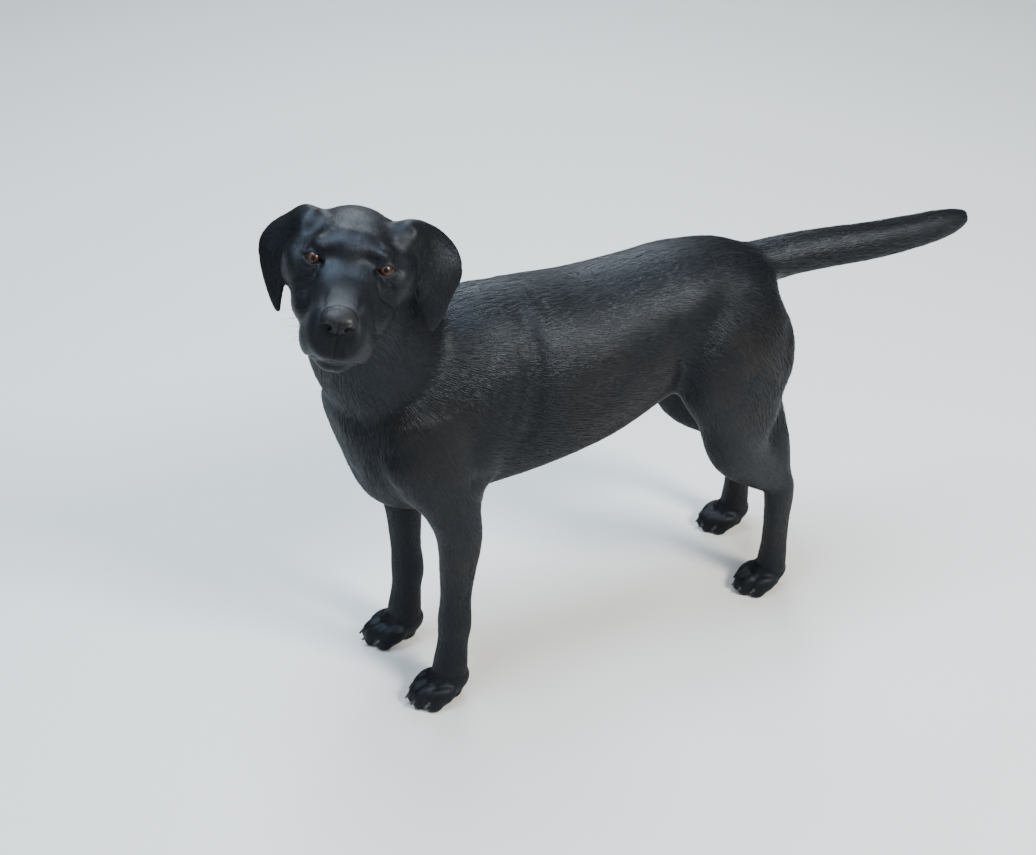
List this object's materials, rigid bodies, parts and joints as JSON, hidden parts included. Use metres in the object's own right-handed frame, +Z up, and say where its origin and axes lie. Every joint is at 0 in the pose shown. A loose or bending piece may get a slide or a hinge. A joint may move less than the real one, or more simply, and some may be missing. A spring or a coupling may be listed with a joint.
{
  "type": "dog model",
  "caption": "Life-size still model of a black Labrador Retriever, standing, head turned to its left, tail held out level.",
  "frame": {"origin": "on the ground, under the middle of the outer box", "axes": "+Z up; the body faces -Y, the tail points to +Y, and the dog's left side, to which its head is turned, is at +X"},
  "size_m": [0.348, 1.0701, 0.7614],
  "materials": {
    "coat": "short dense glossy black fur",
    "nose_leather": "moist pebbled black",
    "eye": "glossy amber brown",
    "claw": "dull black horn"
  },
  "bodies": {
    "root": {"head": "coat", "lower_jaw": "coat", "ear_left": "coat", "ear_right": "coat", "neck": "coat", "trunk": "coat", "tail": "coat", "front_leg_left": "coat", "front_paw_left": "coat", "thigh_left": "coat", "hind_leg_left": "coat", "hind_paw_left": "coat", "front_leg_right": "coat", "front_paw_right": "coat", "thigh_right": "coat", "hind_leg_right": "coat", "hind_paw_right": "coat", "nose": "nose_leather", "eye_left": "eye", "eye_right": "eye", "claw_front_left_1": "claw", "claw_front_left_2": "claw", "claw_front_left_3": "claw", "claw_front_left_4": "claw", "claw_front_right_1": "claw", "claw_front_right_2": "claw", "claw_front_right_3": "claw", "claw_front_right_4": "claw", "claw_hind_left_1": "claw", "claw_hind_left_2": "claw", "claw_hind_left_3": "claw", "claw_hind_left_4": "claw", "claw_hind_right_1": "claw", "claw_hind_right_2": "claw", "claw_hind_right_3": "claw", "claw_hind_right_4": "claw"}
  },
  "joints": []
}
